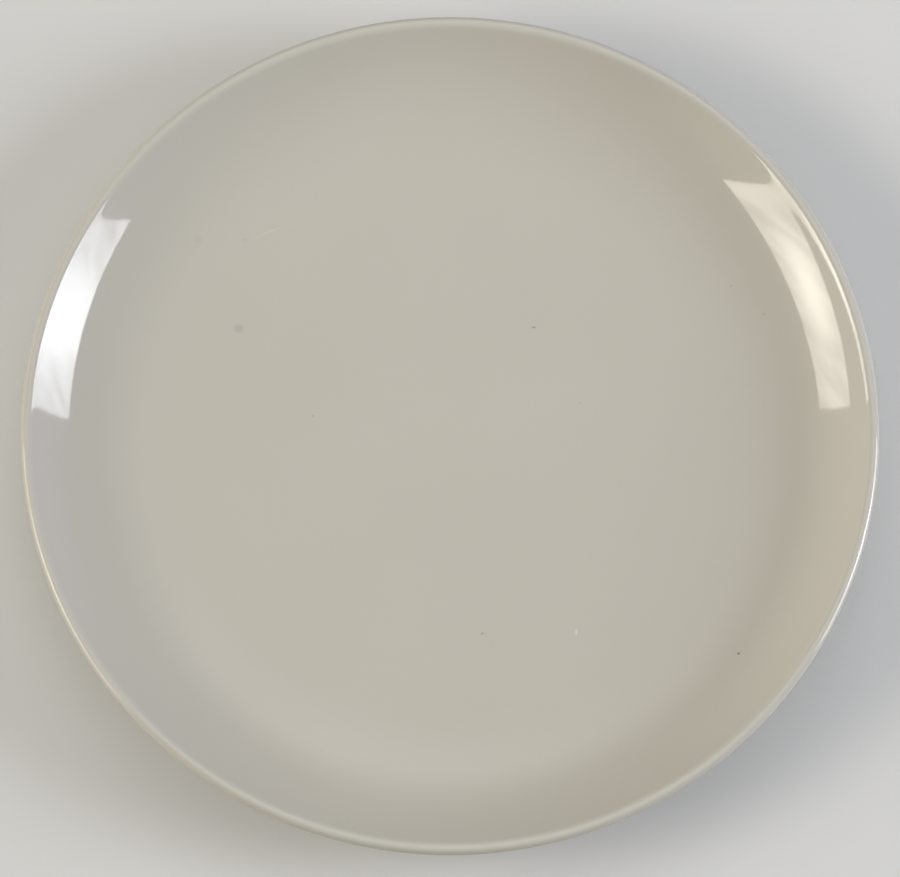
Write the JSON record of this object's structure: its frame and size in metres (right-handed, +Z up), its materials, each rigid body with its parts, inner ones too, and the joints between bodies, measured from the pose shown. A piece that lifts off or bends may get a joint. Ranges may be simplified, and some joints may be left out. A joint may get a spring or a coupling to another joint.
{
  "type": "bread and butter plate",
  "caption": "Round coupe plate for bread and butter: a flat well sweeps up through a curved wall to a rounded lip, in glossy warm-grey glaze, on a bare foot ring.",
  "frame": {"origin": "centre of the foot ring's bearing circle, on the plane that the plate stands on", "axes": "+Z up along the plate's axis; X and Y lie in the bearing plane and have no preferred direction, because the plate is round"},
  "size_m": [0.165, 0.165, 0.017],
  "materials": {
    "fired_clay": "matte",
    "glaze": "polished"
  },
  "bodies": {
    "root": {"clay_body": "fired_clay", "glaze_coat": "glaze", "recess_glaze": "glaze"}
  },
  "joints": []
}
